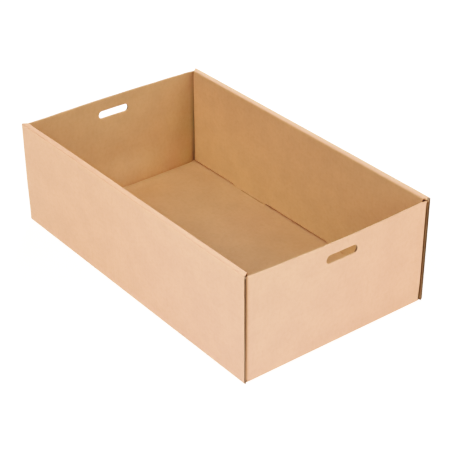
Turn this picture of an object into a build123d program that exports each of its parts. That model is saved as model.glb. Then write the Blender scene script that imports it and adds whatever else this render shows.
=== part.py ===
"""Open-topped cardboard tray with rolled-over long walls and a finger hole in each end.

The tray is one die-cut blank of single-wall corrugated board, folded up without glue or tape:

    floor -> outer long wall -> double crease over the rim -> inner long wall -> tabs in floor slots
    floor -> end panel -> ears that slide between the outer and the inner long wall

It is therefore one solid. The layers that lie against each other (ear against wall, tab in slot)
keep a small air gap, so the sheet stays one sheet and is joined only along its real creases.

Frame: +Z up, +X along the length, origin at the centre of the footprint. Millimetres.
"""

import os

from build123d import *

# ---------------------------------------------------------------- driving dimensions
LENGTH = 560.0            # overall, over the outer faces of the end panels
WIDTH = 340.0             # overall, over the outer faces of the long walls
HEIGHT = 176.0            # overall, to the top of the rolled rim
BOARD = 3.0               # board caliper (B flute)

R_IN = 0.6                # inside radius of a 90 degree crease
R_OUT = R_IN + BOARD      # outside radius of the same crease

EAR_GAP_OUT = 0.95        # air between an ear and the outer wall
EAR_GAP_IN = 0.1          # air between an ear and the inner wall
RIM_R_OUTER = 4.5         # rolled rim: outside radius of the outer crease
RIM_R_INNER = 3.4         # rolled rim: outside radius of the inner crease
RIM_W = 3 * BOARD + EAR_GAP_OUT + EAR_GAP_IN   # thickness of the finished long wall

END_DROP = 3.9            # the end panel's top edge sits this far under the rim
EAR_DROP = 6.0            # the ears' top edge sits this far under the rim
EAR_REACH = 105.0         # length of an ear behind its crease
EAR_BOTTOM = 4.5          # height of the ears' lower edge
EAR_TIP = 14.0            # chamfer on the ear's free corners
SLIT = 0.4                # relief between the floor crease and an ear crease
CORNER_SLIT = 1.0         # relief between the end crease and the outer wall

INNER_END_GAP = 2.4       # inner wall to end panel; the rim is cut on the slant from the outer wall's end to here
INNER_FLOOR_GAP = 2.0     # inner wall's lower edge to the floor
SHOULDER = (78.0, 164.0)  # stretch of that edge that reaches the floor (mirrored in X)
TAB = (84.0, 141.0)       # locking tab within the shoulder
TAB_TIP_Z = 0.4           # tab ends just short of the underside
SHOULDER_GAP = 0.2
SLOT_CLEAR_X = 0.8        # slot is longer than the tab by this at each end
SLOT_CLEAR_OUT = 0.3      # slot's outer edge to the tab
SLOT_CLEAR_IN = 2.6       # slot's inner edge to the tab

HOLE_LENGTH = 58.0        # finger hole, fully rounded ends
HOLE_HEIGHT = 14.0
HOLE_BELOW_RIM = 30.6     # rim to the hole's centre line

# ---------------------------------------------------------------- derived places
HX, HY = LENGTH / 2, WIDTH / 2
Y_IN = HY - RIM_W                     # inner face of the finished long wall
Y_ROLL = HY - RIM_R_OUTER             # the rim's flat top lies between these two lines
Y_ROLL_IN = Y_IN + RIM_R_INNER
Z_ROLL = HEIGHT - RIM_R_OUTER
Z_ROLL_IN = HEIGHT - RIM_R_INNER
FX, FY = HX - R_OUT, HY - R_OUT       # flat part of the floor
EAR_Y1 = HY - BOARD - EAR_GAP_OUT     # outer face of an ear
EAR_Y0 = EAR_Y1 - BOARD
EAR_CY = EAR_Y1 - R_OUT               # ear crease's centre
INNER_X = HX - BOARD - INNER_END_GAP  # inner wall's end
END_TOP = HEIGHT - END_DROP
EAR_TOP = HEIGHT - EAR_DROP
HOLE_Z = HEIGHT - HOLE_BELOW_RIM


def arc(centre, radius, start_deg, sweep_deg):
    """An arc in a sketch plane, from its centre, radius, start and sweep."""
    return CenterArc(centre, radius, start_deg, sweep_deg)


def solid_x(edges, x0, x1):
    """Extrudes a closed outline drawn as (y, z) from x0 to x1."""
    plane = Plane(origin=(x0, 0, 0), x_dir=(0, 1, 0), z_dir=(1, 0, 0))
    return extrude(plane * make_face(edges), amount=x1 - x0)


def solid_y(edges, y0, y1):
    """Extrudes a closed outline drawn as (x, z) from y0 to y1."""
    plane = Plane(origin=(0, y1, 0), x_dir=(1, 0, 0), z_dir=(0, -1, 0))
    return extrude(plane * make_face(edges), amount=y1 - y0)


def solid_z(edges, z0, z1):
    """Extrudes a closed outline drawn as (x, y) from z0 to z1."""
    return extrude(Plane.XY.offset(z0) * make_face(edges), amount=z1 - z0)


def block(x0, x1, y0, y1, z0, z1):
    return Pos((x0 + x1) / 2, (y0 + y1) / 2, (z0 + z1) / 2) * Box(x1 - x0, y1 - y0, z1 - z0)


# ---------------------------------------------------------------- floor with its four slots
floor = block(-FX, FX, -FY, FY, 0, BOARD)
for sx in (-1, 1):
    for sy in (-1, 1):
        xa, xb = sorted((sx * (TAB[0] - SLOT_CLEAR_X), sx * (TAB[1] + SLOT_CLEAR_X)))
        ya, yb = sorted((sy * (Y_IN - SLOT_CLEAR_IN), sy * (Y_IN + BOARD + SLOT_CLEAR_OUT)))
        floor -= block(xa, xb, ya, yb, -1, BOARD + 1)

# ---------------------------------------------------------------- one long wall (+Y), mirrored later
# Lower crease, outer wall and the rolled rim, full length.
outer_outline = [
    arc((FY, R_OUT), R_OUT, -90, 90),
    Line((HY, R_OUT), (HY, Z_ROLL)),
    arc((Y_ROLL, Z_ROLL), RIM_R_OUTER, 0, 90),
    Line((Y_ROLL, HEIGHT), (Y_ROLL_IN, HEIGHT)),
    arc((Y_ROLL_IN, Z_ROLL_IN), RIM_R_INNER, 90, 90),
    Line((Y_IN, Z_ROLL_IN), (Y_IN + BOARD, Z_ROLL_IN)),
    arc((Y_ROLL_IN, Z_ROLL_IN), RIM_R_INNER - BOARD, 180, -90),
    Line((Y_ROLL_IN, HEIGHT - BOARD), (Y_ROLL, HEIGHT - BOARD)),
    arc((Y_ROLL, Z_ROLL), RIM_R_OUTER - BOARD, 90, -90),
    Line((HY - BOARD, Z_ROLL), (HY - BOARD, R_OUT)),
    arc((FY, R_OUT), R_IN, 0, -90),
    Line((FY, BOARD), (FY, 0)),
]
outer_wall = solid_x(outer_outline, -HX, HX)
for sx in (-1, 1):  # past the floor's end the wall carries on without its crease
    xa, xb = sorted((sx * FX, sx * (HX + 1)))
    outer_wall -= block(xa, xb, FY - 5, HY - BOARD, -1, R_OUT + 2)

# Over the top, each end is cut on the slant, from the outer wall's end to the inner wall's.
for sx in (-1, 1):
    plan = [(HX, HY), (HX + 2, HY), (HX + 2, Y_IN - 2), (INNER_X, Y_IN - 2), (INNER_X, Y_IN)]
    outer_wall -= solid_z(Polyline(*[(sx * x, y) for x, y in plan], close=True), Z_ROLL, HEIGHT + 2)

# Inner wall: its lower edge clears the floor, comes down to it at two shoulders, and each shoulder carries a tab.
z_edge, z_sh = BOARD + INNER_FLOOR_GAP, BOARD + SHOULDER_GAP
half = [
    (SHOULDER[0] - 1.5, z_edge), (SHOULDER[0], z_sh), (TAB[0], z_sh), (TAB[0] + 0.6, TAB_TIP_Z + 1.2), (TAB[0] + 2.0, TAB_TIP_Z),
    (TAB[1] - 2.0, TAB_TIP_Z), (TAB[1] - 0.6, TAB_TIP_Z + 1.2), (TAB[1], z_sh), (SHOULDER[1], z_sh), (SHOULDER[1] + 1.5, z_edge),
]
lower = [(-x, z) for x, z in reversed(half)] + half
inner_pts = [(-INNER_X, Z_ROLL_IN), (-INNER_X, z_edge), *lower, (INNER_X, z_edge), (INNER_X, Z_ROLL_IN)]
inner_wall = solid_y(Polyline(*inner_pts, close=True), Y_IN, Y_IN + BOARD)

long_wall = outer_wall + inner_wall

# ---------------------------------------------------------------- one end panel (+X), mirrored later
end_crease = solid_y(
    [
        arc((FX, R_OUT), R_OUT, -90, 90),
        Line((HX, R_OUT), (HX - BOARD, R_OUT)),
        arc((FX, R_OUT), R_IN, 0, -90),
        Line((FX, BOARD), (FX, 0)),
    ],
    -(HY - BOARD - CORNER_SLIT), HY - BOARD - CORNER_SLIT,
)
end_panel = block(HX - BOARD, HX, -EAR_CY, EAR_CY, R_OUT, END_TOP)
hole = Plane(origin=(HX - 2 * BOARD, 0, HOLE_Z), x_dir=(0, 1, 0), z_dir=(1, 0, 0)) * SlotOverall(HOLE_LENGTH, HOLE_HEIGHT)
end_panel -= extrude(hole, amount=3 * BOARD)
end = end_crease + end_panel

ear_crease = solid_z(
    [
        arc((FX, EAR_CY), R_OUT, 0, 90),
        Line((FX, EAR_Y1), (FX, EAR_Y0)),
        arc((FX, EAR_CY), R_IN, 90, -90),
        Line((HX - BOARD, EAR_CY), (HX, EAR_CY)),
    ],
    R_OUT + SLIT, EAR_TOP,
)
ear_tip_x = FX - EAR_REACH
ear_pts = [
    (FX, EAR_BOTTOM), (FX, EAR_TOP), (ear_tip_x + EAR_TIP, EAR_TOP - 3.0), (ear_tip_x, EAR_TOP - 3.0 - EAR_TIP),
    (ear_tip_x, EAR_BOTTOM + EAR_TIP), (ear_tip_x + EAR_TIP, EAR_BOTTOM + 2.0),
]
ear = solid_y(Polyline(*ear_pts, close=True), EAR_Y0, EAR_Y1)
ear_set = ear_crease + ear
end = end + ear_set + mirror(ear_set, about=Plane.XZ)

# ---------------------------------------------------------------- the whole folded blank
tray = floor + long_wall + mirror(long_wall, about=Plane.XZ) + end + mirror(end, about=Plane.YZ)
solids = tray.solids()
assert len(solids) == 1, f"the blank came apart into {len(solids)} solids"
tray = solids[0]
tray.label = "folded_tray"

blank_area = tray.volume / BOARD / 1e6
print("volume mm3", round(tray.volume), "blank area m2", round(blank_area, 3), "valid", tray.is_valid, "box", tray.bounding_box())

os.makedirs("parts", exist_ok=True)
export_step(tray, "parts/folded_tray.step")
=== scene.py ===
"""The folded tray as corrugated kraft board: one sheet with its creases, cut edges and flutes, in the CAD's own frame."""

import math

import bmesh
import bpy
import numpy as np
from mathutils import Matrix, Vector, noise
from mathutils.geometry import delaunay_2d_cdt


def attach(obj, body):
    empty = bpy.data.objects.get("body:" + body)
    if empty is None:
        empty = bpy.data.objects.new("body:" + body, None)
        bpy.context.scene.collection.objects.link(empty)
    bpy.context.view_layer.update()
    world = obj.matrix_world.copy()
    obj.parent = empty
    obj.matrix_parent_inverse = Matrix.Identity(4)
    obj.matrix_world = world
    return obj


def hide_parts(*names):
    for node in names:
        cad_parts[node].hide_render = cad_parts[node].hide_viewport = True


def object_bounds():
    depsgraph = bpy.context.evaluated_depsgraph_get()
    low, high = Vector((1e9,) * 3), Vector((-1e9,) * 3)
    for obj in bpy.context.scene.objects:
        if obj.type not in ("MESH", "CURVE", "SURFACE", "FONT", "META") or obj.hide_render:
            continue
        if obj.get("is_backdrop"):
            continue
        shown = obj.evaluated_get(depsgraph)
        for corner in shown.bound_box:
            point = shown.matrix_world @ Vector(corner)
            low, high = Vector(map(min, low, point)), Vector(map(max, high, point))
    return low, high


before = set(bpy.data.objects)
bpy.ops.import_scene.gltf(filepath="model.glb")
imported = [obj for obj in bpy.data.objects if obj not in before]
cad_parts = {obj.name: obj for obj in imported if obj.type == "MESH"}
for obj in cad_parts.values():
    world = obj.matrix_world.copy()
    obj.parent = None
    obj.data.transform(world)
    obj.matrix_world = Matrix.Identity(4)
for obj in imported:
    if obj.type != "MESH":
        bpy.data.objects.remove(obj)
cad_lo, cad_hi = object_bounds()
scene = bpy.context.scene

# ------------------------------------------------------------------ the blank's dimensions, in millimetres
LENGTH, WIDTH, HEIGHT, BOARD = 560.0, 340.0, 176.0, 3.0
R_IN = 0.6
R_OUT = R_IN + BOARD
EAR_GAP_OUT, EAR_GAP_IN = 0.95, 0.1
RIM_W = 3 * BOARD + EAR_GAP_OUT + EAR_GAP_IN
RIM_R_OUTER, RIM_R_INNER = 1.5, 2.3
RI = 0.3
END_DROP, EAR_DROP, EAR_REACH, EAR_TIP = 2.9, 4.7, 105.0, 14.0
R_EAR_IN = 2.0
R_EAR = R_EAR_IN + BOARD
EAR_SET = 1.0  # an ear's crease stands this much further in than the ear behind it
SLIT = 0.4
INNER_END_GAP, INNER_FLOOR_GAP, SHOULDER_GAP = 3.8, 2.0, 0.04
SHOULDER, TAB, TAB_TIP_Z = (78.0, 164.0), (84.0, 141.0), 0.4
SLOT_CLEAR_X, SLOT_CLEAR_OUT, SLOT_CLEAR_IN = 0.3, 0.3, 0.35
HOLES = {1: (56.8, 14.4, -1.5, 28.5), -1: (57.6, 12.7, 0.0, 30.6)}  # by end: length, height, offset along Y, rim to centre line

HX, HY = LENGTH / 2, WIDTH / 2
FX, FY = HX - R_OUT, HY - R_OUT
Y_IN = HY - RIM_W
Y_ROLL, Z_ROLL = HY - RIM_R_OUTER, HEIGHT - RIM_R_OUTER
Y_ROLL_IN, Z_ROLL_IN = Y_IN + RIM_R_INNER, HEIGHT - RIM_R_INNER
EAR_Y1 = HY - BOARD - EAR_GAP_OUT
EAR_CY = EAR_Y1 - EAR_SET - R_EAR
EAR_CX = HX - R_EAR
INNER_X = HX - BOARD - INNER_END_GAP
END_TOP, EAR_TOP = HEIGHT - END_DROP, HEIGHT - EAR_DROP

# ------------------------------------------------------------------ the board's make-up
LINER = 0.34          # liner caliper, a little more than real so that it shows
MEDIUM = 0.30         # fluting medium caliper
PITCH = 6.6           # one flute; flutes run across the tray's width
DEPTH = 6.5           # how far open flutes are modelled behind a cut that crosses them
FINE = PITCH / 12     # spacing of points along such a cut
GRID = 8.0            # spacing of points over a panel
WAVE = (BOARD - 2 * LINER - MEDIUM) / 2
PINCH = 0.70          # how far the die presses each liner in at an edge along the flutes
LIP = EAR_DROP - END_DROP  # over this distance from the edge
LIP_AT = [0.0, 0.08, 0.24, 0.5, 0.85, 1.3, LIP]

ARC_LOW = (R_OUT - BOARD / 2) * math.pi / 2
ARC_EAR = (R_EAR - BOARD / 2) * math.pi / 2
V_WALL = FY + ARC_LOW
V_RIM = V_WALL + Z_ROLL - R_OUT


def spread(a, b, step):
    """Evenly spaced numbers from a to b, about step apart, ends included."""
    n = max(1, int(round(abs(b - a) / step)))
    return [a + (b - a) * i / n for i in range(n + 1)]


def inside(p, loop):
    """Which of the points p lie inside a closed loop."""
    q = np.asarray(loop, float)
    r = np.roll(q, -1, axis=0)
    p = np.asarray(p, float)[:, None]
    over = (q[:, 1] > p[..., 1]) != (r[:, 1] > p[..., 1])
    with np.errstate(divide="ignore", invalid="ignore"):
        x = q[:, 0] + (p[..., 1] - q[:, 1]) / (r[:, 1] - q[:, 1]) * (r[:, 0] - q[:, 0])
        return np.count_nonzero(over & (p[..., 0] < x), axis=1) % 2 == 1


def away(p, loop):
    """Distance of the points p from a closed loop."""
    q = np.asarray(loop, float)
    d = np.roll(q, -1, axis=0) - q
    p = np.asarray(p, float)[:, None]
    s = np.clip(((p - q) * d).sum(2) / np.maximum((d * d).sum(1), 1e-12), 0, 1)
    return np.hypot(*np.moveaxis(q + d * s[..., None] - p, 2, 0)).min(1)


class Sheet:
    """A sheet of board as points that each have a place on its outer and on its inner liner, and a place on the flat blank."""

    def __init__(self):
        self.keys, self.out, self.inn, self.flat, self.crease, self.faces = {}, [], [], [], [], []

    def point(self, out, inn, flat, crease=0.0):
        key = tuple(round(c * 200) for c in out)
        if key not in self.keys:
            self.keys[key] = len(self.out)
            self.out.append(tuple(out))
            self.inn.append(tuple(inn))
            self.flat.append(tuple(flat))
            self.crease.append(crease)
        i = self.keys[key]
        self.crease[i] = max(self.crease[i], crease)
        return i

    def grid(self, rows, ring=False):
        """Cells between rows of point numbers; a ring closes on itself."""
        for a, b in zip(rows, rows[1:]):
            n = len(a)
            for j in range(n if ring else n - 1):
                k = (j + 1) % n
                self.faces.append((a[j], a[k], b[k], b[j]))

    def panel(self, loops, place, step=GRID, gap=3.0):
        """A flat panel bounded by loops (the first outside, the others holes), filled with points step apart, through place(a, b)."""
        pts, edges = [], []
        for loop in loops:
            n0 = len(pts)
            pts += loop
            edges += [(n0 + k, n0 + (k + 1) % len(loop)) for k in range(len(loop))]
        q = np.asarray(loops[0], float)
        lo, hi = q.min(0), q.max(0)
        more = np.array([(a, b) for a in spread(lo[0], hi[0], step)[1:-1] for b in spread(lo[1], hi[1], step)[1:-1]])
        keep = inside(more, loops[0])
        for k, loop in enumerate(loops):
            keep &= away(more, loop) > gap
            if k:
                keep &= ~inside(more, loop)
        pts = pts + [tuple(p) for p in more[keep].tolist()]
        verts, _, tris, origin, _, _ = delaunay_2d_cdt([Vector(p) for p in pts], edges, [], 0, 1e-4)
        where = [pts[o[0]] if o else tuple(v) for v, o in zip(verts, origin)]
        mid = np.array([np.mean([where[i] for i in tri], axis=0) for tri in tris])
        keep = inside(mid, loops[0])
        for loop in loops[1:]:
            keep &= ~inside(mid, loop)
        for tri, ok in zip(tris, keep):
            if ok:
                self.faces.append(tuple(place(*where[i]) for i in tri))


def line(points, steps):
    """A closed polyline's points with its sides divided; steps are the spacings, side by side."""
    made = []
    for p, q, step in zip(points, points[1:] + points[:1], steps):
        n = max(1, int(round(math.dist(p, q) / step)))
        made += [(p[0] + (q[0] - p[0]) * k / n, p[1] + (q[1] - p[1]) * k / n) for k in range(n)]
    return made


sheet = Sheet()
cuts = []  # (point numbers along a cut, direction into the board, "across" or "along" the flutes, or a pressed "lip", depth)

# Places of points along the creases, shared by the panels on both sides.
STRIP_X = [FX - 6.0, FX - 4.0, FX - 2.4, FX - 1.2, FX]
u_mid = spread(-STRIP_X[0], STRIP_X[0], GRID)
u_floor = [-x for x in STRIP_X[:0:-1]] + u_mid + STRIP_X[1:]
u_wall = [-HX] + u_floor + [HX]
y_panel = spread(-EAR_CY, EAR_CY, GRID)
y_strip = [-FY, -(EAR_CY + FY) / 2] + y_panel + [(EAR_CY + FY) / 2, FY]
STRIP_Z = [R_OUT, R_OUT + SLIT, 4.8, 6.0, 7.6, 9.6]
z_ear = STRIP_Z[1:] + spread(STRIP_Z[-1], EAR_TOP, GRID)[1:]
z_wall = spread(R_OUT, Z_ROLL, 4.0)
z_inner = spread(Z_ROLL_IN, BOARD + INNER_FLOOR_GAP, 4.0)
TONGUE = math.radians(12)  # past the floor's end, the outer wall starts this far round its lower crease
t_low = [math.radians(a) for a in (0, 3, 6, 9)] + [TONGUE] + [TONGUE + (math.pi / 2 - TONGUE) * k / 9 for k in range(1, 10)]

# ---- floor with its slots
slots = []
for sx in (-1, 1):
    for sy in (-1, 1):
        xa, xb = sorted((sx * (TAB[0] - SLOT_CLEAR_X), sx * (TAB[1] + SLOT_CLEAR_X)))
        ya, yb = sorted((sy * (Y_IN - SLOT_CLEAR_IN), sy * (Y_IN + BOARD + SLOT_CLEAR_OUT)))
        slots.append(line([(xa, ya), (xb, ya), (xb, yb), (xa, yb)], (FINE, 2.0, FINE, 2.0)))


def on_floor(x, y):
    return sheet.point((x, y, 0.0), (x, y, BOARD), (x, y))


outline = [(x, -FY) for x in u_mid[:-1]] + [(u_mid[-1], y) for y in y_strip[:-1]]
outline += [(x, FY) for x in u_mid[:0:-1]] + [(u_mid[0], y) for y in y_strip[:0:-1]]
sheet.panel([outline, *slots], on_floor)
for loop in slots:
    for y_side, into in ((min(p[1] for p in loop), -1), (max(p[1] for p in loop), 1)):
        run = sorted(p for p in loop if p[1] == y_side)
        other = max(abs(p[1]) for p in loop) == abs(y_side)
        cuts.append(([on_floor(*p) for p in run], Vector((0, into, 0)), "across", 2.4 if other else DEPTH))


# ---- long walls: lower crease, outer wall, rolled rim, inner wall
def low_crease(u, a, s):
    ro, ri = R_OUT, R_IN
    return sheet.point(
        (u, s * (FY + ro * math.sin(a)), R_OUT - ro * math.cos(a)),
        (u, s * (FY + ri * math.sin(a)), R_OUT - ri * math.cos(a)),
        (u, s * (FY + ARC_LOW * a / (math.pi / 2))),
        math.sin(2 * a),
    )


def on_outer(u, z, s):
    return sheet.point((u, s * HY, z), (u, s * (HY - BOARD), min(z, HEIGHT - BOARD - RI)), (u, s * (V_WALL + z - R_OUT)))


# The rim from the outer to the inner wall: places of both liners as (y, z), distance over the top, place on the blank, crease share.
# over the rim the crease share runs up to 4.5, which paints a highlight along the rim's top
rim = []
for k in range(11):
    a = math.pi / 2 * k / 10
    c, s = math.cos(a), math.sin(a)
    rim.append([(Y_ROLL + RIM_R_OUTER * c, Z_ROLL + RIM_R_OUTER * s), (HY - BOARD - RI + RI * c, HEIGHT - BOARD - RI + RI * s), 1 + 3.5 * s])
for k in range(1, 3):
    t = k / 3
    rim.append([(Y_ROLL + (Y_ROLL_IN - Y_ROLL) * t, HEIGHT), (HY - BOARD - RI + (Y_IN + BOARD + RI - HY + BOARD + RI) * t, HEIGHT - BOARD), 4.5])
for k in range(9):
    a = math.pi / 2 * k / 8
    c, s = math.cos(a), math.sin(a)
    rim.append([(Y_ROLL_IN - RIM_R_INNER * s, Z_ROLL_IN + RIM_R_INNER * c), (Y_IN + BOARD + RI - RI * s, HEIGHT - BOARD - RI + RI * c), 4.5 * c])
over, along_blank = [0.0], [V_RIM]
for (a, b, _), (c, d, _) in zip(rim, rim[1:]):
    over.append(over[-1] + math.dist(a, c))
    along_blank.append(along_blank[-1] + math.dist(((a[0] + b[0]) / 2, (a[1] + b[1]) / 2), ((c[0] + d[0]) / 2, (c[1] + d[1]) / 2)))
V_INNER = along_blank[-1]
KEPT = STRIP_X[0]  # the rim's columns past here close up towards its slanted end


def slanted(u, reach):
    return u if abs(u) <= KEPT else math.copysign(KEPT + (abs(u) - KEPT) * (reach - KEPT) / (HX - KEPT), u)


reaches = np.interp([HY - one[0][0] for one in rim], [0, 1.4, 3.2, 6.1, 8.6, RIM_W], [HX, 278.8, 277.6, 275.7, 274.4, INNER_X])


def on_rim(u, k, s):
    (yo, zo), (yi, zi), rim_crease_and_highlight = rim[k]
    x = slanted(u, reaches[k])
    return sheet.point((x, s * yo, zo), (x, s * yi, zi), (x, s * along_blank[k]), rim_crease_and_highlight)


def on_inner(u, z, s):
    return sheet.point((u, s * Y_IN, z), (u, s * (Y_IN + BOARD), z), (u, s * (V_INNER + Z_ROLL_IN - z)))


z_edge, z_sh = BOARD + INNER_FLOOR_GAP, BOARD + SHOULDER_GAP
half = [
    (SHOULDER[0] - 1.5, z_edge), (SHOULDER[0], z_sh), (TAB[0], z_sh), (TAB[0] + 0.6, TAB_TIP_Z + 1.2), (TAB[0] + 2.0, TAB_TIP_Z),
    (TAB[1] - 2.0, TAB_TIP_Z), (TAB[1] - 0.6, TAB_TIP_Z + 1.2), (TAB[1], z_sh), (SHOULDER[1], z_sh), (SHOULDER[1] + 1.5, z_edge),
]
corners = [(-INNER_X, z_edge)] + [(-x, z) for x, z in reversed(half)] + half + [(INNER_X, z_edge)]
lower_edge = []
for p, q in zip(corners, corners[1:]):
    n = max(1, int(round(math.dist(p, q) / (FINE if p[1] == q[1] == TAB_TIP_Z else GRID))))
    lower_edge += [(p[0] + (q[0] - p[0]) * k / n, p[1] + (q[1] - p[1]) * k / n) for k in range(n)]
u_top = [slanted(u, INNER_X) for u in u_wall]

for s in (-1, 1):
    for lo, hi, us in ((0, 4, u_floor), (4, len(t_low) - 1, u_wall)):
        sheet.grid([[low_crease(u, a, s) for u in us] for a in t_low[lo:hi + 1]])
    outline = [(u, R_OUT) for u in u_wall[:-1]] + [(HX, z) for z in z_wall[:-1]]
    outline += [(u, Z_ROLL) for u in u_wall[:0:-1]] + [(-HX, z) for z in z_wall[:0:-1]]
    sheet.panel([outline], lambda u, z, s=s: on_outer(u, z, s))
    sheet.grid([[on_rim(u, k, s) for u in u_wall] for k in range(len(rim))])
    outline = lower_edge + [(INNER_X, z) for z in z_inner[:0:-1]] + [(u, Z_ROLL_IN) for u in u_top[:0:-1]] + [(-INNER_X, z) for z in z_inner[:-1]]
    sheet.panel([outline], lambda u, z, s=s: on_inner(u, z, s))
    for sx in (-1, 1):
        run = [low_crease(sx * HX, a, s) for a in t_low[4:-1]] + [on_outer(sx * HX, z, s) for z in z_wall]
        run += [on_rim(sx * HX, k, s) for k in range(1, len(rim) - 1)] + [on_inner(sx * INNER_X, z, s) for z in z_inner]
        cuts.append((run, Vector((-sx, 0, 0)), "along", 0))
        tips = sorted(p for p in lower_edge if p[1] == TAB_TIP_Z and p[0] * sx > 0)
        cuts.append(([on_inner(*p, s) for p in tips], Vector((0, 0, 1)), "across", DEPTH))

# ---- ends: crease with its cleft inside, panel with the finger hole, ears
t_strip = [math.radians(a) for a in (0, 15, 30, 45, 60, 75, 90)]


def bead(along, y):
    """How far the inner liner stands proud beside the fold, and dips into the cleft at its middle."""
    fade = min(1.0, (FY - abs(y)) / 4.0)
    return fade * (0.15 * math.exp(-(((abs(along) - 2.4) / 1.4) ** 2)) - 0.3 * math.exp(-((along / 0.8) ** 2)))


def turned_in(x, y, share):
    """Beyond the panel the fold's end turns in under the ear's crease."""
    past = abs(y) - EAR_CY
    if past <= 0:
        return x, y
    a, r = math.radians(50) * past / (FY - EAR_CY), x - EAR_CX
    return x + (EAR_CX + r * math.cos(a) - x) * share, math.copysign(abs(y) + (EAR_CY + r * math.sin(a) - abs(y)) * share, y)


def end_strip(k, y, s):
    """Point k across the end crease: over the floor, round the fold, up the panel."""
    n_floor, n_fold = len(STRIP_X), len(t_strip) - 2
    if k < n_floor:
        x = STRIP_X[k]
        b = bead(-0.47 - (FX - x), y) if k else 0.0
        return sheet.point((s * x, y, 0.0), (s * x, y, BOARD + b), (s * x, y), 0.3 * (k > 2))
    if k < n_floor + n_fold:
        a = t_strip[k - n_floor + 1]
        r = R_IN - bead(R_IN * (a - math.pi / 4), y)
        (xo, yo), (xi, yi) = [turned_in(FX + one * math.sin(a), y, math.sin(a) ** 2) for one in (R_OUT, r)]
        return sheet.point(
            (s * xo, yo, R_OUT - R_OUT * math.cos(a)),
            (s * xi, yi, R_OUT - r * math.cos(a)),
            (s * (FX + ARC_LOW * a / (math.pi / 2)), y),
            math.sin(2 * a),
        )
    z = STRIP_Z[k - n_floor - n_fold]
    b = bead(0.47 + z - R_OUT, y) if z < STRIP_Z[-1] else 0.0
    (xo, yo), (xi, yi) = [turned_in(one, y, 1.0) for one in (HX, HX - BOARD - b)]
    return sheet.point((s * xo, yo, z), (s * xi, yi, z), (s * (FX + ARC_LOW + z - R_OUT), y), 0.3 * (z < R_OUT + 2))


def on_end(y, z, s, pressed=0.0, crease=0.0):
    return sheet.point((s * (HX - pressed), y, z), (s * (HX - BOARD + pressed), y, z), (s * (FX + ARC_LOW + z - R_OUT), y), crease)


def press(d, share=1.0):
    """How far each liner is pressed in at a distance from the edge."""
    return share * PINCH * (1 - math.sqrt(1 - max(0.0, 1 - d / LIP) ** 2))


def ear_crease(z, a, sx, sy, pressed=0.0):
    ro, ri = R_EAR - pressed, R_EAR_IN + pressed
    return sheet.point(
        (sx * (EAR_CX + ro * math.cos(a)), sy * (EAR_CY + ro * math.sin(a)), z),
        (sx * (EAR_CX + ri * math.cos(a)), sy * (EAR_CY + ri * math.sin(a)), z),
        (sx * (FX + ARC_LOW + z - R_OUT), sy * (EAR_CY + ARC_EAR * a / (math.pi / 2))),
        math.sin(2 * a),
    )


def ear_top(d, k, sx, sy):
    """Point k round an ear's crease, above the ear, d under the top edge."""
    t = min(1.0, max(0.0, (7 - k) / 3))
    return ear_crease(EAR_TOP + LIP * t * t * (3 - 2 * t) * (1 - d / LIP), math.pi / 2 * k / 8, sx, sy, press(d, max(0.0, 1 - k / 4)))


def on_ear(x, z, sx, sy):
    t = min(1.0, (EAR_CX - x) / 30.0)
    y = EAR_Y1 - EAR_SET * (1 - t * t * (3 - 2 * t))
    return sheet.point((sx * x, sy * y, z), (sx * x, sy * (y - BOARD), z), (sx * (FX + ARC_LOW + z - R_OUT), sy * (EAR_CY + ARC_EAR + EAR_CX - x)))


def finger_hole(length, height, y0, below):
    """Round a finger hole: y, z of an end's centre or the straight's point, direction outwards; and the ends' radius."""
    r, z0 = height / 2, HEIGHT - below
    h = length / 2 - r
    turn = [math.pi * k / 36 for k in range(36)]
    made = [(y0 + y, z0, 0.0, -1.0) for y in spread(-h, h, 5.0)[:-1]]
    made += [(y0 + h, z0, math.sin(a), -math.cos(a)) for a in turn]
    made += [(y0 + y, z0, 0.0, 1.0) for y in spread(h, -h, 5.0)[:-1]]
    made += [(y0 - h, z0, -math.sin(a), math.cos(a)) for a in turn]
    return made, r


def lip_share(dz):
    t = min(1.0, max(0.0, (abs(dz) - 0.45) / 0.5))
    return t * t * (3 - 2 * t)


def hole_ring(spots, r, d):
    return [(y + (r + d) * dy, z + (r + d) * dz) for y, z, dy, dz in spots]


n_strip = len(STRIP_X) + len(t_strip) - 2 + len(STRIP_Z)
k_panel = len(STRIP_X) + len(t_strip) - 2  # from here up the strip is as narrow as the panel
tip = FX - EAR_REACH

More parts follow.
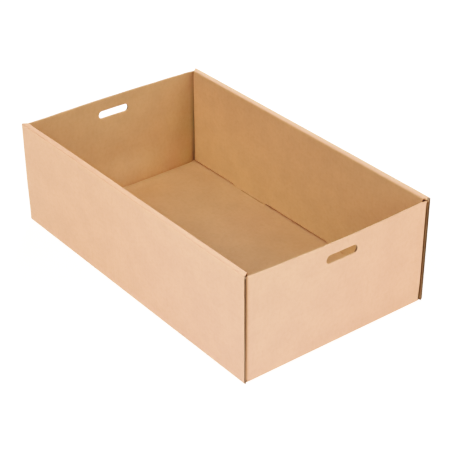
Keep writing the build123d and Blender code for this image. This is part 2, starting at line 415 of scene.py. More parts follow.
for sx in (-1, 1):
    rows = [[end_strip(k, y, sx) for y in (y_strip if k <= k_panel else y_panel)] for k in range(n_strip)]
    sheet.grid(rows[: k_panel + 1])
    sheet.grid([rows[k_panel][2:-2]] + rows[k_panel + 1:])
    spots, rh = finger_hole(*HOLES[sx])
    z_side = spread(STRIP_Z[-1], EAR_TOP, GRID)
    outline = [(y, STRIP_Z[-1]) for y in y_panel[:-1]] + [(EAR_CY, z) for z in z_side[:-1]]
    outline += [(y, EAR_TOP) for y in y_panel[:0:-1]] + [(-EAR_CY, z) for z in z_side[:0:-1]]
    sheet.panel([outline, hole_ring(spots, rh, LIP)], lambda y, z, sx=sx: on_end(y, z, sx), 6.5, 2.5)
    sheet.grid([[on_end(y, END_TOP - d, sx, press(d), 0.5 * (d < 1)) for y in y_panel] for d in reversed(LIP_AT)])
    edge = [on_end(y, END_TOP, sx, press(0)) for y in y_panel]
    for sy in (-1, 1):  # round the ears' creases the top edge comes down under the rim
        rows = [[ear_top(d, k, sx, sy) for k in range(8)] for d in reversed(LIP_AT)]
        sheet.grid(rows)
        edge = edge + rows[-1][1:] if sy > 0 else rows[-1][:0:-1] + edge
    cuts.append((edge, Vector((0, 0, -1)), "lip", 0))
    rings = [[on_end(*p, sx, press(d, lip_share(spot[3])), 0.5 * (d < 1)) for p, spot in zip(hole_ring(spots, rh, d), spots)] for d in LIP_AT]
    sheet.grid(rings, ring=True)
    edge = rings[0] + rings[0][:1]
    dz = [spot[3] for spot in spots] + [spots[0][3]]
    dy = [spot[2] for spot in spots] + [spots[0][2]]
    run, kind = [edge[0]], None
    for k in range(len(edge) - 1):
        new = "across" if max(abs(dz[k]), abs(dz[k + 1])) < 0.9 else "lip"
        if new != kind and kind is not None:
            cuts.append((run, Vector((0, math.copysign(1, dy[k - 1]), 0)), kind, 1.0))
            run = [edge[k]]
        run.append(edge[k + 1])
        kind = new
    cuts.append((run, Vector((0, 1, 0)), kind, 1.0))
    for sy in (-1, 1):
        sheet.grid([[ear_crease(z, a, sx, sy) for z in z_ear] for a in [math.pi / 2 * k / 8 for k in range(9)]])
        free = line([(EAR_CX, EAR_TOP), (tip + EAR_TIP, EAR_TOP - 3.0), (tip, EAR_TOP - 3.0 - EAR_TIP), (tip, 4.5 + EAR_TIP), (tip + EAR_TIP, 6.5), (EAR_CX, z_ear[0])], [400.0] * 6)
        outline = [(EAR_CX, z) for z in z_ear] + free[1: free.index((EAR_CX, z_ear[0]))]
        sheet.panel([outline], lambda x, z, sx=sx, sy=sy: on_ear(x, z, sx, sy), 16)

# ------------------------------------------------------------------ the sheet as a closed mesh
verts, flat3, crease = [], [], []  # places, (u, v, w) on the blank, crease share
faces, kinds, uvs = [], [], []     # kinds: 0 liner, 1 cut edge
place_of = {}


def vertex(p, q, c=0.0):
    key = tuple(round(x * 500) for x in p)
    if key not in place_of:
        place_of[key] = len(verts)
        verts.append(tuple(p))
        flat3.append(tuple(q))
        crease.append(c)
    return place_of[key]


def through(i, w, push=None):
    """The vertex at point i of the sheet, w into its thickness, pushed on along a direction."""
    a, b = Vector(sheet.out[i]), Vector(sheet.inn[i])
    p = a.lerp(b, w / BOARD)
    if push is not None:
        p = p + push
    return vertex(p, (*sheet.flat[i], w), sheet.crease[i])


def add(kind, coords, *corners_):
    """A face, without repeated corners; coords are its corners' places on the bake's map for a cut edge."""
    keep = [k for k, c in enumerate(corners_) if c != corners_[k - 1]]
    if len({corners_[k] for k in keep}) >= 3:
        faces.append([corners_[k] for k in keep])
        kinds.append(kind)
        uvs.append([coords[k] for k in keep] if coords else None)


for f in sheet.faces:
    add(0, None, *[through(i, 0.0) for i in f])
    add(0, None, *[through(i, BOARD) for i in reversed(f)])

count = {}
for f in sheet.faces:
    for i, j in zip(f, f[1:] + f[:1]):
        count[(min(i, j), max(i, j))] = count.get((min(i, j), max(i, j)), 0) + 1
rim_edges = {e for e, n in count.items() if n == 1}
LEVELS = (0.0, LINER, BOARD - LINER, BOARD)


def quad(kind, a, b, c, d, ca, cb, cc, cd):
    add(kind, [ca, cb, cc, cd], a, b, c, d)


def medium_at(phase):
    """Middle of the fluting medium in the board's thickness."""
    return BOARD / 2 + WAVE * math.sin(phase)


def pocket(phase, side):
    """The open flute beside a cut along the flutes, from the liner at the cut round to the medium at the cut: (depth, w)."""
    base, sign = (LINER, -1) if side < 0 else (BOARD - LINER, 1)
    at_cut = medium_at(phase) + sign * MEDIUM / 2
    if sign * (base - at_cut) < 0.25:
        return None
    touch = PITCH * ((sign * math.pi / 2 - phase) % (2 * math.pi)) / (2 * math.pi)
    touch = min(max(touch, 0.5), 4.2)
    made = [(0.0, base), (touch, base)]
    for t in (0.75, 0.5, 0.25):
        w = medium_at(phase + 2 * math.pi * touch * t / PITCH) + sign * MEDIUM / 2
        made.append((touch * t, min(w, base - 0.04) if sign > 0 else max(w, base + 0.04)))
    return made + [(0.0, at_cut)]


for number, (run, into, style, depth) in enumerate(cuts):
    n = len(run)
    run_len = np.cumsum([0] + [(Vector(sheet.out[a]) - Vector(sheet.out[b])).length for a, b in zip(run, run[1:])])
    low, high, pockets = [], [], []
    for k, i in enumerate(run):
        closed = k in (0, n - 1) or sheet.out[i][2] > Z_ROLL - 1.0
        if style == "along":
            phase = 0.55 + 1.1 * number + 0.9 * math.sin(run_len[k] / 47.0 + number) + 0.35 * math.sin(run_len[k] / 11.0)
            sides = [None if closed else pocket(phase, side) for side in (-1, 1)]
            sides = [[(0.0, base)] * 6 if one is None else one for one, base in zip(sides, (LINER, BOARD - LINER))]
            pockets.append(sides)
            low.append(sides[0][-1][1])
            high.append(sides[1][-1][1])
            continue
        phase = 2 * math.pi * sheet.flat[i][0] / PITCH
        mid = medium_at(phase)
        thick = MEDIUM / 2 * math.sqrt(1 + (WAVE * 2 * math.pi / PITCH * math.cos(phase)) ** 2)
        a, b = (LINER, BOARD - LINER) if closed else (mid - thick, mid + thick)
        low.append(a if a > LINER + 0.2 else LINER)
        high.append(b if b < BOARD - LINER - 0.2 else BOARD - LINER)
    for k in range(n - 1):
        i, j = run[k], run[k + 1]
        rim_edges.discard((min(i, j), max(i, j)))
        s, e = run_len[k], run_len[k + 1]
        if style == "lip":
            for w0, w1 in zip(LEVELS, LEVELS[1:]):
                quad(0, through(i, w0), through(j, w0), through(j, w1), through(i, w1), (s, w0), (e, w0), (e, w1), (s, w1))
            continue
        shut = min(sheet.out[i][2], sheet.out[j][2]) > Z_ROLL_IN - 0.1 and HY - abs(sheet.out[i][1]) > 2.6  # pressed shut over the rim
        kind = 0 if shut else 1
        for w0, w1 in (LEVELS[:2], LEVELS[2:]):
            quad(kind, through(i, w0), through(j, w0), through(j, w1), through(i, w1), (s, w0), (e, w0), (e, w1), (s, w1))
        quad(kind, through(i, low[k]), through(j, low[k + 1]), through(j, high[k + 1]), through(i, high[k]), (s, low[k]), (e, low[k + 1]), (e, high[k + 1]), (s, high[k]))
        if style == "along":
            for side in (0, 1):
                here, there = pockets[k][side], pockets[k + 1][side]
                for m in range(5):
                    (d0, w0), (d1, w1), (d2, w2), (d3, w3) = here[m], here[m + 1], there[m + 1], there[m]
                    quad(1, through(i, w0, into * d0), through(j, w3, into * d3), through(j, w2, into * d2), through(i, w1, into * d1), (s, 4 + m), (e, 4 + m), (e, 5 + m), (s, 5 + m))
            continue
        push = into * depth
        for base, edge in ((LINER, low), (BOARD - LINER, high)):
            if edge[k] == base and edge[k + 1] == base:
                continue
            quad(1, through(i, base), through(j, base), through(j, base, push), through(i, base, push), (s, 4), (e, 4), (e, 9), (s, 9))
            quad(1, through(i, edge[k]), through(j, edge[k + 1]), through(j, edge[k + 1], push), through(i, edge[k], push), (s, 4), (e, 4), (e, 9), (s, 9))
            quad(1, through(i, base, push), through(j, base, push), through(j, edge[k + 1], push), through(i, edge[k], push), (s, 9), (e, 9), (e, 9.5), (s, 9.5))

for i, j in sorted(rim_edges):
    d = (Vector(sheet.out[i]) - Vector(sheet.out[j])).length
    s = sum(sheet.flat[i]) % 120
    for w0, w1 in zip(LEVELS, LEVELS[1:]):
        quad(1, through(i, w0), through(j, w0), through(j, w1), through(i, w1), (s, w0), (s + d, w0), (s + d, w1), (s, w1))

# ------------------------------------------------------------------ how the real sheet stands: a little flared, bowed and wavy
co = np.array(verts)
x, y, z = co.T
rise = z / HEIGHT
moved = co.copy()
moved[:, 0] += np.where(x > 0, 0.14, 1.53) * rise * x / HX
moved[:, 1] += np.where(y > 0, -0.5 + 0.5 * np.clip((y - Y_IN) / RIM_W, 0, 1), 1.25) * rise * y / HY
# over the +Y wall the rolled rim stands a little higher along its outer crease
moved[:, 2] += 0.3 * np.clip((y - Y_IN) / RIM_W, 0, 1) * np.clip((z - Z_ROLL_IN + 30) / 30, 0, 1) * np.clip((HX - np.abs(x)) / 25, 0, 1)
across = np.clip(1 - (y / 165.0) ** 2, 0, None) ** 1.15
near = np.clip((np.abs(x) - (HX - 12)) / 8, 0, 1)
moved[:, 0] += np.sign(x) * np.where(x > 0, 4.1, 3.46) * across * np.clip(z / END_TOP, 0, 1.05) ** 1.3 * near


def soft(d, width):
    t = np.clip(d / width, 0, 1)
    return t * t * (3 - 2 * t)


def wobble(where, a, b, seed, size):
    """Slow random waviness at the vertices of a mask, nought elsewhere."""
    made = np.zeros(len(a))
    for i in np.flatnonzero(where):
        made[i] = noise.noise(Vector((a[i] / size, b[i] / size, seed)))
    return made


for side, seed in ((1, 3.1), (-1, 13.1)):
    part = soft(z, 60) * soft(HEIGHT - 4 - z, 40) * soft(HX - np.abs(x), 60)
    wall = (y * side > 150) & (z > 3.5) & (part > 0)
    moved[:, 1] += (0.55 * wobble(wall, x, z * 1.3, seed, 120) + 0.22 * wobble(wall, x, z, seed + 4.6, 38)) * part
    part = soft(z - 4, 40) * soft(EAR_CY - np.abs(y), 40)
    ends = (x * side > HX - 9) & (np.abs(y) < EAR_CY + 3) & (part > 0)
    moved[:, 0] += (0.5 * wobble(ends, y, z, seed + 20, 95) + 0.18 * wobble(ends, y, z, seed + 24.6, 33)) * part
skin = (np.abs(y) < Y_IN + BOARD + 0.01) & (np.abs(y) > Y_IN - 0.01) & (z > 3.02) & (z < Z_ROLL_IN)
moved[:, 1] -= np.where(skin, np.sign(y) * 0.9 * soft(z - 5, 60) * soft(HEIGHT - 8 - z, 60) * soft(HX - 10 - np.abs(x), 90), 0)
# the inner wall's ends give way to the ears' creases
moved[:, 1] -= np.where(skin, np.sign(y) * 0.6 * (1 - soft(INNER_X - np.abs(x), 30)) * soft(Z_ROLL_IN - z, 14), 0)
# between the shoulders its lower edge stands a little higher
moved[:, 2] += np.where(skin, 0.5 * soft(SHOULDER[0] - 1 - np.abs(x), 6) * (1 - soft(z - 5, 14)), 0)
# the +Y inner wall sits a little towards +X, but not its tabs
moved[:, 0] += np.where(y > Y_IN - 0.01, 1.25 * soft(HY - BOARD + 0.01 - y, 3) * soft(z - 6, 26) * (skin | (z > EAR_TOP + 0.5)), 0)
# the corner between +X and -Y stands a little higher, and so does the one between -X and -Y, where the wall's end also bulges
moved[:, 2] += 1.0 * soft(x, 290) * soft(-y, 175) * rise**2
moved[:, 2] += np.where(x < -(HX - 12), 0.6 * (1 - soft(y + 165, 50)) * rise**2, 0)
moved[:, 1] -= np.where(y < -150, 1.0 * soft(z - 15, 70) * (1 - soft(x + HX, 150)), 0)
# the corner between +X and +Y stands a little further in
moved[:, 1] -= 0.5 * soft(x - 90, 130) * soft(y - 90, 60)
part = soft(FX - 7 - np.abs(x), 60) * soft(156 - np.abs(y), 50)
base = (z < BOARD + 1.2) & (np.abs(x) < FX) & (np.abs(y) < 156.5) & (part > 0)
moved[:, 2] += np.where(base, np.clip(0.35 + 0.9 * wobble(base, x, y, 43.1, 140) + 0.25 * wobble(base, x, y, 47.7, 45), 0, 2) * part, 0)
top = (np.abs(x) > HX - 4) & (np.abs(y) < EAR_CY) & (z > EAR_TOP)
moved[:, 2] += 0.35 * wobble(top, y, x * 0, 51.3, 26) * soft(z - EAR_TOP, LIP)
# the far end's foot stands a little further in at one side
foot = (x < -(FX - 40)) & (np.abs(y) < EAR_CY + 0.1)
moved[:, 0] += np.where(foot, (3.2 + 5.0 * np.clip(0.5 - y / 320, 0, 0.52)) * soft(-x - (FX - 40), 32) * (1 - soft(z, 70)) * soft(EAR_CY - np.abs(y), 10), 0)

# behind their creases the ears are pressed thinner, so they clear the inner walls
spread_out = np.array(flat3)
past = np.where(np.abs(spread_out[:, 0]) > HX + 0.05, np.abs(spread_out[:, 1]) - EAR_CY - 0.55 * ARC_EAR, -1)
moved[:, 1] += np.sign(y) * 1.2 * spread_out[:, 2] / BOARD * soft(past, 0.45 * ARC_EAR)

# ------------------------------------------------------------------ mesh, smoothing and maps
mesh = bpy.data.meshes.new("folded_tray_board")
mesh.from_pydata((moved / 1000).tolist(), [], faces)
tray = bpy.data.objects.new("folded_tray_board", mesh)
scene.collection.objects.link(tray)
mesh.polygons.foreach_set("material_index", kinds)

blank = mesh.attributes.new("blank", "FLOAT_VECTOR", "POINT")
blank.data.foreach_set("vector", np.array(flat3, np.float32).ravel())
# painted shade, darker where shade falls: inside the end folds, round the ears' creases and in the grooves beside them,
# in the far end's corner by the +Y wall, and across the long walls' cut ends
flat_u, flat_v, flat_w = np.array(flat3).T
along = np.maximum(np.maximum(FX - np.abs(x), z - R_OUT), 0)
in_fold = (flat_w > BOARD / 2) & (np.abs(x) > FX - 12) & (z < 16) & (np.abs(y) < FY + 0.1)
on_floor = np.where(x < 0, soft(FX - np.abs(x), 1.5), 0)
pressed = np.where(in_fold, (0.1 + 0.12 * on_floor) * np.exp(-((along / (3.6 + 1.6 * on_floor)) ** 2)), 0)
turned = np.clip((np.abs(flat_v) - EAR_CY) / ARC_EAR, 0, 1)
in_ear = (np.abs(flat_u) > HX + 0.05) & (np.abs(y) > EAR_CY - 0.1)
pressed = np.maximum(pressed, np.where(in_ear, np.where(flat_w > BOARD / 2, 0.35 * (1 - 0.6 * soft(z - 90, 70)) + 0.65 * turned, np.where(y > 0, 1.3, 0.3 + 0.2 * soft(z, 100)) * soft(turned - np.where(y > 0, 0.12, 0.38), 0.3)), 0))
pressed *= np.where(in_ear & (x > 0) & (y > 0), 1 - 0.65 * soft(z - EAR_TOP + 1.6, 1.6), 1)
far_corner = (x < -HX + 4) & (flat_w > BOARD / 2) & (z > R_OUT) & (np.abs(y) < EAR_CY + 0.1)
pressed += np.where(far_corner, 0.17 * np.exp(-(((EAR_CY - y) / 30) ** 2)) * (1.2 - 0.5 * rise), 0)
wall_end = (np.abs(np.abs(flat_u) - HX) < 0.05) & (flat_v > V_WALL - 3) & (flat_v < V_RIM + 0.1)
pressed = np.maximum(pressed, np.where(wall_end, 0.42 * (flat_w / BOARD) ** 1.4, 0))
# the "pressed" attribute carries this painted shade to the materials
dark = mesh.attributes.new("pressed", "FLOAT", "POINT")
dark.data.foreach_set("value", pressed.astype(np.float32))
folds = mesh.attributes.new("fold", "FLOAT", "POINT")
folds.data.foreach_set("value", np.array(crease, np.float32))

# The bake's map: the blank laid flat twice, outer liner on the left and inner liner on the right, cut edges in a free corner of it.
SPAN_U, SPAN_V = 904.0, 1050.0
layer = mesh.uv_layers.new(name="OFBake")
coords = np.zeros((len(mesh.loops), 2), np.float32)
at = 0
for face, own in zip(faces, uvs):
    if own is None:
        side = 0.5 if all(flat3[i][2] > BOARD / 2 for i in face) else 0.0
        for i in face:
            u, v, _ = flat3[i]
            coords[at] = (side + 0.5 * (u / SPAN_U + 0.5), v / SPAN_V + 0.5)
            at += 1
    else:
        shift = math.floor(min(c[0] for c in own) / 140.0) * 140.0
        for s, w in own:
            coords[at] = (0.5 * ((292.0 + s - shift) / SPAN_U + 0.5), (290.0 + w * 22.0) / SPAN_V + 0.5)
            at += 1
layer.uv.foreach_set("vector", coords.ravel())

bm = bmesh.new()
bm.from_mesh(mesh)
bmesh.ops.recalc_face_normals(bm, faces=bm.faces)
loose = sum(1 for e in bm.edges if len(e.link_faces) != 2)
bm.to_mesh(mesh)
bm.free()
mesh.polygons.foreach_set("use_smooth", [True] * len(mesh.polygons))
mesh.set_sharp_from_angle(angle=math.radians(32))
mesh.update()
print("TRAY faces", len(mesh.polygons), "tris", sum(len(p.vertices) - 2 for p in mesh.polygons), "edges not shared by two faces", loose)


# ------------------------------------------------------------------ materials
def node(tree, kind, **values):
    made = tree.nodes.new(kind)
    for name, value in values.items():
        if name.startswith("in_"):
            key = name[3:]
            made.inputs[int(key) if key.isdigit() else key].default_value = value
        else:
            setattr(made, name, value)
    return made


def maths(tree, op, a, b=None, clamp=False):
    made = node(tree, "ShaderNodeMath", operation=op, use_clamp=clamp)
    for k, value in enumerate((a, b)):
        if value is None:
            continue
        if isinstance(value, (int, float)):
            made.inputs[k].default_value = value
        else:
            tree.links.new(value, made.inputs[k])
    return made.outputs[0]


def blend_colours(tree, share, a, b, mode="MIX"):
    made = node(tree, "ShaderNodeMix", data_type="RGBA", blend_type=mode)
    for socket, value in ((made.inputs[0], share), (made.inputs[6], a), (made.inputs[7], b)):
        if isinstance(value, (int, float)):
            socket.default_value = value
        elif isinstance(value, tuple):
            socket.default_value = (*value, 1.0)
        else:
            tree.links.new(value, socket)
    return made.outputs[2]


KRAFT = (0.674, 0.440, 0.287)
KRAFT_DARK = (0.560, 0.350, 0.210)
# paler colour of the creases, and of the painted highlight along the rims
KRAFT_PALE = (0.745, 0.525, 0.370)
KRAFT_CREASE_AND_HIGHLIGHT = (0.790, 0.495, 0.320)
# dark brown of the painted shade
SHADE_BROWN = (0.145, 0.103, 0.053)
# soft tints over the sheet that paint local light and shade: place on the blank, side, how far it reaches, tint
LIGHT_AND_SHADE_TINTS = [
    (280, -170, 0, 420, (1.015, 1.008, 1.078)), (40, -255, 0, 420, (1.03, 1.0, 1.0)), (-200, -255, 0, 380, (1.0, 0.968, 0.96)),
    (370, 150, 0, 300, (1.0, 0.95, 0.965)), (200, 440, 0, 330, (0.955, 0.965, 0.96)), (-180, 440, 0, 260, (1.025, 1.02, 1.0)),
    (-320, -20, 1, 190, (0.995, 1.025, 1.05)), (-200, -60, 1, 220, (1.015, 0.965, 0.925)), (150, 60, 1, 300, (1.03, 1.02, 1.03)),
    (-175, 10, 1, 130, (0.955, 0.94, 0.955)), (-60, 10, 1, 115, (0.955, 0.945, 0.965)), (45, 8, 1, 115, (0.925, 0.925, 0.965)),
    (-45, 100, 1, 110, (1.035, 1.008, 1.025)), (-355, 152, 1, 75, (0.94, 1.02, 0.99)), (-350, 160, 1, 45, (0.97, 1.04, 1.03)), (-405, 160, 1, 45, (0.97, 1.04, 1.03)), (-300, 160, 1, 40, (0.97, 1.04, 1.03)), (-298, 22, 1, 62, (1.055, 1.085, 1.12)),
    (-298, 80, 1, 60, (1.03, 1.06, 1.05)), (-292, 140, 1, 32, (0.985, 1.07, 1.03)), (-246, 35, 1, 75, (0.985, 0.945, 0.9)),
]


def kraft_board():
    mat = bpy.data.materials.new("kraft_liner")
    mat.use_nodes = True
    tree = mat.node_tree
    tree.nodes.clear()
    link = tree.links.new
    out = node(tree, "ShaderNodeOutputMaterial")
    skin = node(tree, "ShaderNodeBsdfPrincipled")
    link(skin.outputs[0], out.inputs[0])
    skin.inputs["Specular IOR Level"].default_value = 0.35
    skin.inputs["Sheen Weight"].default_value = 0.08
    skin.inputs["Sheen Roughness"].default_value = 0.6
    spot = node(tree, "ShaderNodeAttribute", attribute_name="blank")
    fold = node(tree, "ShaderNodeAttribute", attribute_name="fold")
    parts = node(tree, "ShaderNodeSeparateXYZ")
    link(spot.outputs["Vector"], parts.inputs[0])
    u, v, w = parts.outputs
    # inner liner gets its own stretch of pattern
    place = node(tree, "ShaderNodeVectorMath", operation="MULTIPLY")
    link(spot.outputs["Vector"], place.inputs[0])
    place.inputs[1].default_value = (1.0, 1.0, 40.0)

    def grain(scale, stretch=(1, 1, 1), turn=0.0, detail=3.0, rough=0.55, twist=0.0):
        mapping = node(tree, "ShaderNodeMapping")
        mapping.inputs["Scale"].default_value = tuple(scale * c for c in stretch)
        mapping.inputs["Rotation"].default_value = (0, 0, turn)
        link(place.outputs[0], mapping.inputs[0])
        tex = node(tree, "ShaderNodeTexNoise", in_Scale=1.0, in_Detail=detail, in_Roughness=rough, in_Distortion=twist)
        link(mapping.outputs[0], tex.inputs["Vector"])
        return tex.outputs["Fac"]

    cloud = grain(1 / 38.0, detail=2.0)                    # sheet formation, slow
    mottle = grain(1 / 7.0, (1, 1.25, 1), detail=4.0)      # sheet formation, fine
    long_a = grain(1 / 1.1, (0.16, 1.6, 1), 0.35, 2.0)     # fibres, crossing at two angles
    long_b = grain(1 / 1.0, (0.18, 1.5, 1), -0.5, 2.0)
    fleck = grain(1 / 1.5, (0.6, 1.2, 1), 0.9, 1.0)

    def ramp(value, lo, hi):
        made = node(tree, "ShaderNodeMapRange", interpolation_type="SMOOTHSTEP")
        link(value, made.inputs[0])
        made.inputs[1].default_value, made.inputs[2].default_value = lo, hi
        return made.outputs[0]

    flute = maths(tree, "SINE", maths(tree, "MULTIPLY", u, 2 * math.pi / PITCH))
    colour = blend_colours(tree, ramp(cloud, 0.3, 0.7), tuple(c * 0.972 for c in KRAFT), tuple(c * 1.022 for c in KRAFT))
    colour = blend_colours(tree, maths(tree, "MULTIPLY", ramp(mottle, 0.38, 0.75), 0.20), colour, KRAFT_DARK)
    colour = blend_colours(tree, maths(tree, "MULTIPLY", ramp(long_a, 0.56, 0.74), 0.20), colour, KRAFT_PALE)
    colour = blend_colours(tree, maths(tree, "MULTIPLY", ramp(long_b, 0.58, 0.78), 0.20), colour, KRAFT_DARK)
    colour = blend_colours(tree, maths(tree, "MULTIPLY", ramp(fleck, 0.74, 0.80), 0.35), colour, (0.33, 0.19, 0.10))
    colour = blend_colours(tree, maths(tree, "MULTIPLY", maths(tree, "ADD", flute, 1.0), 0.012), colour, KRAFT_DARK)
    # creases and lips are a little paler; over the rolled rims the high crease share paints a highlight
    colour = blend_colours(tree, maths(tree, "MULTIPLY", fold.outputs["Fac"], 0.18), colour, KRAFT_CREASE_AND_HIGHLIGHT)
    # painted shade: darker by the "pressed" attribute in the end folds, the ears' grooves and the far end's corner
    painted_shade_node = node(tree, "ShaderNodeAttribute", attribute_name="pressed")
    colour = blend_colours(tree, maths(tree, "MULTIPLY", painted_shade_node.outputs["Fac"], 0.7), colour, SHADE_BROWN)
    inner = maths(tree, "GREATER_THAN", w, BOARD / 2)  # the inner liner is a touch less red
    # painted shade colour: the inner liner, on the tray's shaded inside, is tinted a touch less red
    colour = blend_colours(tree, inner, colour, blend_colours(tree, 1.0, colour, (0.96, 0.99, 0.985), "MULTIPLY"))
    far_v = maths(tree, "ABSOLUTE", v)
    # painted shade colour: towards its foot, deep in the tray's shade, the inner wall is a little paler and less red
    colour = blend_colours(tree, ramp(far_v, V_INNER + 25, V_INNER + 170), colour, blend_colours(tree, 1.0, colour, (1.0, 1.08, 1.075), "MULTIPLY"))
    # painted shade: a dark line on the floor along the slots' inner edges by the tabs at the -X end
    tab_seam_shade = maths(tree, "LESS_THAN", maths(tree, "ABSOLUTE", maths(tree, "ADD", u, sum(TAB) / 2)), (TAB[1] - TAB[0]) / 2 + 0.3)
    tab_seam_shade = maths(tree, "MULTIPLY", maths(tree, "MULTIPLY", tab_seam_shade, inner), maths(tree, "LESS_THAN", far_v, Y_IN + 0.1))
    tab_seam_shade = maths(tree, "MULTIPLY", tab_seam_shade, ramp(far_v, Y_IN - 2.8, Y_IN - 0.6))
    colour = blend_colours(tree, maths(tree, "MULTIPLY", tab_seam_shade, 0.5), colour, SHADE_BROWN)
    apart = node(tree, "ShaderNodeVectorMath", operation="MULTIPLY")
    link(spot.outputs["Vector"], apart.inputs[0])
    apart.inputs[1].default_value = (1.0, 1.0, 400.0)
    # painted light and shade: each tint fades out from its place over its reach
    for at_u, at_v, side, reach, tint in LIGHT_AND_SHADE_TINTS:
        gap = node(tree, "ShaderNodeVectorMath", operation="DISTANCE")
        link(apart.outputs[0], gap.inputs[0])
        gap.inputs[1].default_value = (at_u, at_v, side * 400.0 * BOARD)
        share = maths(tree, "SUBTRACT", 1.0, ramp(gap.outputs["Value"], 0.0, reach))
        colour = blend_colours(tree, share, colour, blend_colours(tree, 1.0, colour, tint, "MULTIPLY"))
    link(colour, skin.inputs["Base Color"])
    rough = maths(tree, "ADD", maths(tree, "MULTIPLY", mottle, 0.16), 0.70)
    link(rough, skin.inputs["Roughness"])
    height = maths(tree, "ADD", maths(tree, "MULTIPLY", flute, 0.020), maths(tree, "MULTIPLY", mottle, 0.035))
    height = maths(tree, "ADD", height, maths(tree, "MULTIPLY", long_a, 0.016))
    height = maths(tree, "ADD", height, maths(tree, "MULTIPLY", long_b, 0.016))
    bump = node(tree, "ShaderNodeBump", in_Strength=1.0, in_Distance=0.001)
    link(height, bump.inputs["Height"])
    link(bump.outputs[0], skin.inputs["Normal"])
    return mat


def cut_edge():
    mat = bpy.data.materials.new("cut_edge")
    mat.use_nodes = True
    tree = mat.node_tree
    tree.nodes.clear()
    link = tree.links.new
    out = node(tree, "ShaderNodeOutputMaterial")
    skin = node(tree, "ShaderNodeBsdfPrincipled")
    link(skin.outputs[0], out.inputs[0])
    skin.inputs["Specular IOR Level"].default_value = 0.2
    spot = node(tree, "ShaderNodeAttribute", attribute_name="blank")
    parts = node(tree, "ShaderNodeSeparateXYZ")
    link(spot.outputs["Vector"], parts.inputs[0])
    w = parts.outputs[2]
    middle = maths(tree, "ABSOLUTE", maths(tree, "SUBTRACT", w, BOARD / 2))
    liner = node(tree, "ShaderNodeMapRange", interpolation_type="SMOOTHSTEP")
    link(middle, liner.inputs[0])
    liner.inputs[1].default_value, liner.inputs[2].default_value = BOARD / 2 - LINER - 0.1, BOARD / 2 - LINER + 0.1
    tex = node(tree, "ShaderNodeTexNoise", in_Scale=0.9, in_Detail=4.0, in_Roughness=0.6)
    link(spot.outputs["Vector"], tex.inputs["Vector"])
    core = blend_colours(tree, tex.outputs["Fac"], (0.257, 0.186, 0.137), (0.394, 0.295, 0.225))
    skin_edge = blend_colours(tree, tex.outputs["Fac"], (0.37, 0.26, 0.18), (0.52, 0.38, 0.275))
    colour = blend_colours(tree, liner.outputs[0], core, skin_edge)
    # painted shade on the cut edges: darker by the "pressed" attribute in the ears' grooves and across the long walls'
    # cut ends
    painted_shade_node = node(tree, "ShaderNodeAttribute", attribute_name="pressed")
    colour = blend_colours(tree, maths(tree, "MULTIPLY", painted_shade_node.outputs["Fac"], 0.7), colour, (0.10, 0.069, 0.037))
    # paler towards the -Y wall's feet
    down = maths(tree, "MULTIPLY", parts.outputs[1], -1.0)
    foot = node(tree, "ShaderNodeMapRange", interpolation_type="SMOOTHSTEP")
    link(down, foot.inputs[0])
    foot.inputs[1].default_value, foot.inputs[2].default_value = V_WALL, V_WALL + 120
    foot.inputs[3].default_value, foot.inputs[4].default_value = 0.5, 0.0
    share = maths(tree, "MULTIPLY", foot.outputs[0], maths(tree, "GREATER_THAN", down, V_WALL - 4))
    colour = blend_colours(tree, share, colour, (0.60, 0.455, 0.36))
    link(colour, skin.inputs["Base Color"])
    link(maths(tree, "ADD", maths(tree, "MULTIPLY", tex.outputs["Fac"], 0.1), 0.85), skin.inputs["Roughness"])
    bump = node(tree, "ShaderNodeBump", in_Strength=0.6, in_Distance=0.0003)
    link(tex.outputs["Fac"], bump.inputs["Height"])
    link(bump.outputs[0], skin.inputs["Normal"])
    return mat


mesh.materials.append(kraft_board())
mesh.materials.append(cut_edge())

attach(tray, "root")
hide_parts("folded_tray")

# ------------------------------------------------------------------ stage: pale floor, soft light, camera
bpy.ops.mesh.primitive_plane_add(size=14.0, location=(0, 0, -0.0004))
floor = bpy.context.object
floor.name = "studio_floor"
mat = bpy.data.materials.new("studio_floor")
mat.use_nodes = True
skin = mat.node_tree.nodes["Principled BSDF"]
skin.inputs["Base Color"].default_value = (0.5, 0.5, 0.5, 1)
skin.inputs["Roughness"].default_value = 0.9
skin.inputs["Specular IOR Level"].default_value = 0.1
skin.inputs["Emission Color"].default_value = (1, 1, 1, 1)
skin.inputs["Emission Strength"].default_value = 0.68
floor.data.materials.append(mat)
floor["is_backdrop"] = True

world = bpy.data.worlds.new("studio")
scene.world = world
world.use_nodes = True
world.node_tree.nodes["Background"].inputs[0].default_value = (1.0, 1.0, 1.0, 1)
world.node_tree.nodes["Background"].inputs[1].default_value = 0.0


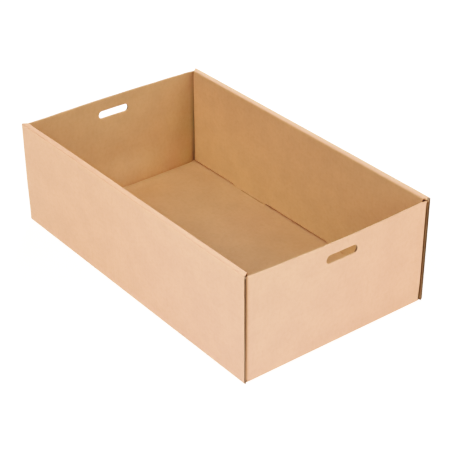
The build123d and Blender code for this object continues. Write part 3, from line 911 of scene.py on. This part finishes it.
def softbox(name, where, look, size, power):
    lamp = bpy.data.lights.new(name, "AREA")
    lamp.shape, lamp.size, lamp.energy = "DISK", size, power
    made = bpy.data.objects.new(name, lamp)
    scene.collection.objects.link(made)
    made.location = where
    made.rotation_mode = "QUATERNION"
    made.rotation_quaternion = (Vector(where) - Vector(look)).to_track_quat("Z", "Y")
    return made


# A ring of soft boxes: azimuth from the tray's -Y side towards +X, elevation, watts.
for turn, lift, watts in (
    (0, 50, 20.3), (45, 50, 15.2), (135, 50, 9.7), (270, 50, 1.1), (315, 50, 2.5),
    (0, 22, 3.9), (45, 22, 4.0), (90, 22, 10.5), (135, 22, 6.9), (225, 22, 36.0),
):
    a, e = math.radians(turn), math.radians(lift)
    softbox(f"softbox_{turn}_{lift}", (2.6 * math.sin(a) * math.cos(e), -2.6 * math.cos(a) * math.cos(e), 0.1 + 2.6 * math.sin(e)), (0, 0, 0.1), 1.2, watts)

cam = bpy.data.cameras.new("photo_view")
view = bpy.data.objects.new("photo_view", cam)
scene.collection.objects.link(view)
az, el, roll = math.radians(52.138), math.radians(31.02), math.radians(0.005)
back = Vector((math.sin(az) * math.cos(el), -math.cos(az) * math.cos(el), math.sin(el)))
right = Vector((math.cos(az), math.sin(az), 0))
up = back.cross(right)
right, up = right * math.cos(roll) + up * math.sin(roll), up * math.cos(roll) - right * math.sin(roll)
place = Vector((0.005157, 0.012264, 0.056)) + back * 2.180635
view.matrix_world = Matrix(((right.x, up.x, back.x, place.x), (right.y, up.y, back.y, place.y), (right.z, up.z, back.z, place.z), (0, 0, 0, 1)))
cam.sensor_width = 36.0
cam.lens = 36.0 * 1407.747 / 452
cam.clip_start, cam.clip_end = 0.05, 50
scene.camera = view
scene.view_settings.view_transform = "Standard"
scene.view_settings.use_curve_mapping = True
tone = scene.view_settings.curve_mapping
curve = tone.curves[3]
for at_x, at_y in ((0.077, 0.03), (0.113, 0.07), (0.141, 0.11), (0.185, 0.18), (0.234, 0.27), (0.269, 0.33), (0.305, 0.39), (0.359, 0.46), (0.414, 0.535), (0.497, 0.65), (0.568, 0.74), (0.656, 0.82)):
    curve.points.new(at_x, at_y)
tone.update()

lo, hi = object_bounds()
{"cad": [list(cad_lo), list(cad_hi)], "visual": [list(lo), list(hi)]}
